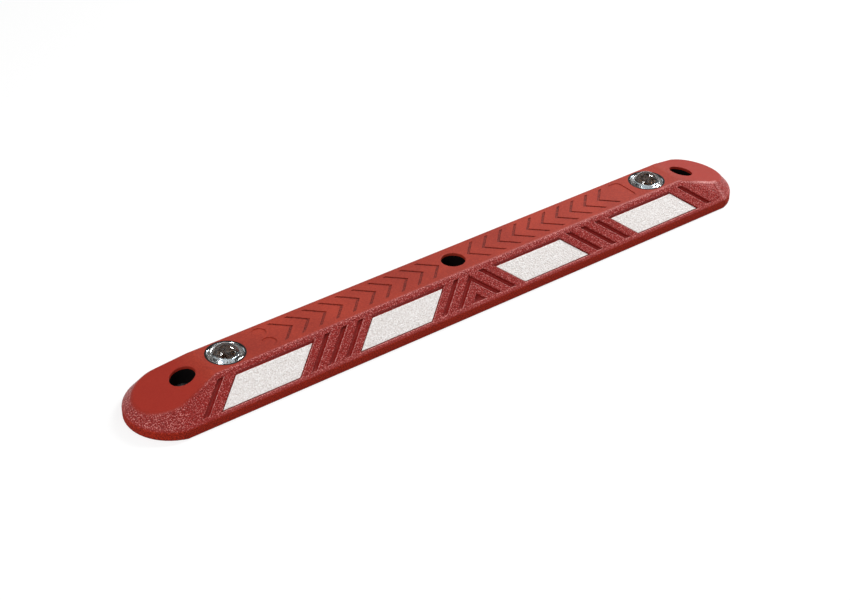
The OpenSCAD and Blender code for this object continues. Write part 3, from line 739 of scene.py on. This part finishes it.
glass, tree, shader = new_material("pressed_clear_glass")
spot = add_node(tree, "ShaderNodeTexCoord")["Object"]
waves = add_node(tree, NOISE, {"Vector": spot, "Scale": 1 / WAVE, "Detail": 1.0})[0]
rolling = {"Strength": WAVE_STRENGTH, "Distance": WAVE_RISE, "Height": waves}
wavy = add_node(tree, "ShaderNodeBump", rolling)[0]
facets, strength, _ = faceted_bowl(tree, spot, *GLASS_FACETS)
pressed = {"Strength": strength, "Distance": FACET_RISE, "Height": facets["Distance"], "Normal": wavy}
moulded = add_node(tree, "ShaderNodeBump", pressed)[0]
tree.links.new(moulded, shader.inputs["Normal"])
shader.inputs["Base Color"].default_value = linear("#F4FAFC")
shader.inputs["Roughness"].default_value = 0.01
shader.inputs["IOR"].default_value = 1.52
shader.inputs["Transmission Weight"].default_value = 1.0
for end, lens in zip(("left", "right"), lenses):
    lens.data.materials.append(glass)
    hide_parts(f"stud_glass_{end}")
print("glass:", len(tree.nodes), "nodes")

# %% Silver
COAT_FACETS = (0.6, 0.3)
mirror, tree, shader = new_material("silvered_mirror_coat")
spot = add_node(tree, "ShaderNodeTexCoord")["Object"]
facets, strength, belt = faceted_bowl(tree, spot, *COAT_FACETS)
pressed = {"Strength": strength, "Distance": FACET_RISE, "Height": facets["Distance"]}
faceted = add_node(tree, "ShaderNodeBump", pressed)[0]
tree.links.new(faceted, shader.inputs["Normal"])
patch = add_node(tree, "ShaderNodeSeparateColor", {0: facets["Color"]})[0]
silvers = {0: patch, 6: linear("#C2CDD8"), 7: linear("#FFFFFF")}
silver = add_node(tree, MIX, silvers, data_type="RGBA")[2]
# Painted reflection: the coat's belt is a dark umber instead of silver.
coat_with_dark_belt = add_node(tree, MIX, {0: belt, 6: silver, 7: linear("#6A4630")}, data_type="RGBA")[2]
tree.links.new(coat_with_dark_belt, shader.inputs["Base Color"])
shader.inputs["Metallic"].default_value = 1.0
shader.inputs["Roughness"].default_value = 0.08
print("mirror:", len(tree.nodes), "nodes")

# %% Mirror coat
GAP = 0.15 * MM
COAT = 0.5 * MM
FLANGE_SKIN = ((21.45, 44.2), (23.35, 44.2), (23.35, 49.0), (23.42, 49.0), (23.42, 44.05), (21.95, 44.05))
coat_outline = arc(BOWL_Z, BOWL_R + GAP, -90, 0, BOWL_STEPS)
coat_outline += [(r * MM, z * MM) for r, z in FLANGE_SKIN]
coat_outline += arc(BOWL_Z, BOWL_R + GAP + COAT, 0, -90, BOWL_STEPS)
for end, x in STUDS:
    bowl = turn(f"stud_bowl_{end}", coat_outline, x)
    bowl.data.materials.append(mirror)
    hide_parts(f"stud_mirror_{end}")
print("bowl:", len(bowl.data.polygons), "faces")

# %% [markdown]
# ## Cups, sleeves, beds and washers
# These four keep their solids, which have the right shape already, and only get their finish: moulded nylon
# for the cups, black rubber for the sleeves, whose near-black also stands for the shade far down each hole,
# a red-brown adhesive for the beds and zinc-plated steel for the washers. Only an edge of each shows, so one
# function gives the first three their grain.

# %% Grained finishes
GRAIN_RISE = 0.1 * MM
GRAIN_STRENGTH = 0.4


def grained_finish(name, low_colour, high_colour, grain, roughness, sheen):
    """A matt material with a fine grain in its colour and its surface."""
    material, tree, shader = new_material(name)
    spot = add_node(tree, "ShaderNodeTexCoord")["Object"]
    grains = add_node(tree, NOISE, {"Vector": spot, "Scale": 1 / grain, "Detail": 3.0})[0]
    tones = {0: grains, 6: linear(low_colour), 7: linear(high_colour)}
    colour = add_node(tree, MIX, tones, data_type="RGBA")[2]
    uneven = {"Strength": GRAIN_STRENGTH, "Distance": GRAIN_RISE, "Height": grains}
    rough = add_node(tree, "ShaderNodeBump", uneven)[0]
    tree.links.new(colour, shader.inputs["Base Color"])
    tree.links.new(rough, shader.inputs["Normal"])
    shader.inputs["Roughness"].default_value = roughness
    shader.inputs["Specular IOR Level"].default_value = sheen
    return material


def finish_nodes(start, material):
    """Gives a material to every solid whose name starts with these letters."""
    found = [node for name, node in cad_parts.items() if name.startswith(start)]
    for node in found:
        node.data.materials.clear()
        node.data.materials.append(material)
    print(start, len(found), material.name)


GRAINED = {
    "stud_cup": ("black_moulded_nylon", "#060607", "#0F0F11", 0.8 * MM, 0.5, 0.2),
    # The sleeves' near-black is partly their own black and partly painted shade for the inside of the holes.
    "hole_liner": ("black_sleeve_and_hole_shade", "#050303", "#0B0707", 1.2 * MM, 0.85, 0.1),
    "panel_bed": ("dark_bonding_adhesive", "#8E2A1A", "#A03524", 1.5 * MM, 0.9, 0.05),
}
for start, finish in GRAINED.items():
    finish_nodes(start, grained_finish(*finish))

# %% Zinc-plated steel
SPANGLE = 3 * MM
ZINC_ROUGH = (0.35, 0.5)
zinc, tree, shader = new_material("zinc_plated_steel")
spot = add_node(tree, "ShaderNodeTexCoord")["Object"]
crystals = add_node(tree, "ShaderNodeTexVoronoi", {"Vector": spot, "Scale": 1 / SPANGLE})["Color"]
spangle = add_node(tree, "ShaderNodeSeparateColor", {0: crystals})[0]
tones = {0: spangle, 6: linear("#8F9498"), 7: linear("#B4B8BB")}
tone = add_node(tree, MIX, tones, data_type="RGBA")[2]
polish = add_node(tree, RANGE, {0: spangle, 3: ZINC_ROUGH[0], 4: ZINC_ROUGH[1]})[0]
tree.links.new(tone, shader.inputs["Base Color"])
tree.links.new(polish, shader.inputs["Roughness"])
shader.inputs["Metallic"].default_value = 1.0
finish_nodes("seat_washer", zinc)

# %% [markdown]
# ## Floor, world and lamps
# The kerb lies on a pale floor between two softboxes, a round one on the left and a strip on the right, with
# a wide soft window in front. The floor and the backdrop look white to the camera and in reflections, while
# they send less light back to the rubber, so that the rim stays darker than the top. In front, the room that
# the glass sees is dark brown, and that is what the domes show.

# %% Floor
FLOOR_R = 6.0
FLOOR_DROP = 0.3 * MM
FLOOR_CORNERS = 96
SHADOWED = 0.3
only(camera)
bpy.ops.mesh.primitive_circle_add(
    vertices=FLOOR_CORNERS, radius=FLOOR_R, fill_type="NGON", location=(0, 0, -FLOOR_DROP)
)
floor = bpy.context.object
floor.name = "floor"
paper, tree, shader = new_material("pale_paper_floor")
rays = add_node(tree, "ShaderNodeLightPath")
indirect = {0: rays["Is Glossy Ray"], 1: rays["Is Transmission Ray"]}
mirrored = add_node(tree, MATH, indirect, operation="MAXIMUM")[0]
seen = add_node(tree, MATH, {0: rays["Is Camera Ray"], 1: mirrored}, operation="MAXIMUM")[0]
tones = {0: seen, 6: linear("#959595"), 7: (SHADOWED, SHADOWED, SHADOWED, 1)}
paper_tone = add_node(tree, MIX, tones, data_type="RGBA")[2]
glow = add_node(tree, MATH, {0: seen, 1: 1 - SHADOWED}, operation="MULTIPLY")[0]
tree.links.new(paper_tone, shader.inputs["Base Color"])
tree.links.new(glow, shader.inputs["Emission Strength"])
shader.inputs["Emission Color"].default_value = (1, 1, 1, 1)
shader.inputs["Roughness"].default_value = 1.0
shader.inputs["Specular IOR Level"].default_value = 0.0
floor.data.materials.append(paper)
print("floor:", FLOOR_R, "m in radius")

# %% World
AMBIENT = 0.38
FRONT_FROM, FRONT_TO = -0.05, -0.35
FRONT_LOW = (0.36, 0.2)
REAR_TOP = (0.8, 0.55)
REAR_FOOT = (0.15, 0.45)
REAR_SHARE = (0.3, 0.8)
CEILING = (0.76, 0.92)
CEILING_SHARE = 0.7
world = bpy.data.worlds.new("white_studio")
world.use_nodes = True
bpy.context.scene.world = world
tree = world.node_tree
rays = add_node(tree, "ShaderNodeLightPath")
indirect = {0: rays["Is Glossy Ray"], 1: rays["Is Transmission Ray"]}
mirrored = add_node(tree, MATH, indirect, operation="MAXIMUM")[0]
toward = add_node(tree, "ShaderNodeTexCoord")["Generated"]
heading = add_node(tree, "ShaderNodeSeparateXYZ", {0: toward})
in_front = add_node(tree, RANGE, {0: heading["Y"], 1: FRONT_FROM, 2: FRONT_TO}, interpolation_type=SOFT)[0]
front_low = {0: heading["Z"], 1: FRONT_LOW[0], 2: FRONT_LOW[1]}
front_wall = add_node(tree, RANGE, front_low, interpolation_type=SOFT)[0]
rear_foot = {0: heading["Z"], 1: REAR_FOOT[0], 2: REAR_FOOT[1], 3: REAR_SHARE[0], 4: REAR_SHARE[1]}
rear_lit = add_node(tree, RANGE, rear_foot, interpolation_type=SOFT)[0]
rear_top = {0: heading["Z"], 1: REAR_TOP[0], 2: REAR_TOP[1]}
rear_edge = add_node(tree, RANGE, rear_top, interpolation_type=SOFT)[0]
rear_wall = add_node(tree, MATH, {0: rear_lit, 1: rear_edge}, operation="MULTIPLY")[0]
wall = add_node(tree, MIX, {0: in_front, 2: rear_wall, 3: front_wall})[0]
overhead = {0: heading["Z"], 1: CEILING[0], 2: CEILING[1], 4: CEILING_SHARE}
ceiling = add_node(tree, RANGE, overhead, interpolation_type=SOFT)[0]
bright = add_node(tree, MATH, {0: wall, 1: ceiling}, operation="MAXIMUM")[0]
rooms = {0: bright, 6: linear("#4A382C"), 7: (1, 1, 1, 1)}
room = add_node(tree, MIX, rooms, data_type="RGBA")[2]
soft = (AMBIENT, AMBIENT, AMBIENT, 1)
lit = add_node(tree, MIX, {0: mirrored, 6: soft, 7: room}, data_type="RGBA")[2]
shown = add_node(tree, MIX, {0: rays["Is Camera Ray"], 6: lit, 7: (1, 1, 1, 1)}, data_type="RGBA")[2]
tree.links.new(shown, tree.nodes["Background"].inputs["Color"])
print("world:", len(tree.nodes), "nodes")

# %% Lamps
LAMPS = {
    "left_softbox": ((-1.76, -0.36, 1.7), "DISK", (0.8, 0.8), 0, 24),
    "right_strip": ((1.7, 0.2, 1.56), "RECTANGLE", (1.0, 0.4), 45, 42),
    "front_window": ((0.1, -2.3, 1.9), "SQUARE", (3.0, 3.0), 0, 12),
}
for name, (stand, shape, size, roll, power) in LAMPS.items():
    bpy.ops.object.select_all(action="DESELECT")
    bpy.ops.object.light_add(type="AREA", location=stand)
    lamp = bpy.context.object
    lamp.name = name
    lamp.data.shape = shape
    lamp.data.size, lamp.data.size_y = size
    lamp.data.energy = power
    aim = Vector(stand).to_track_quat("Z", "Y") @ Quaternion((0, 0, 1), math.radians(roll))
    lamp.rotation_euler = aim.to_euler()
    print(name, power, "W")

# %% [markdown]
# ## The finished scene
# The picture is shown without any film-like curve, so that colours come out as they are written.

# %% Settle the view
bpy.context.scene.view_settings.view_transform = "Standard"
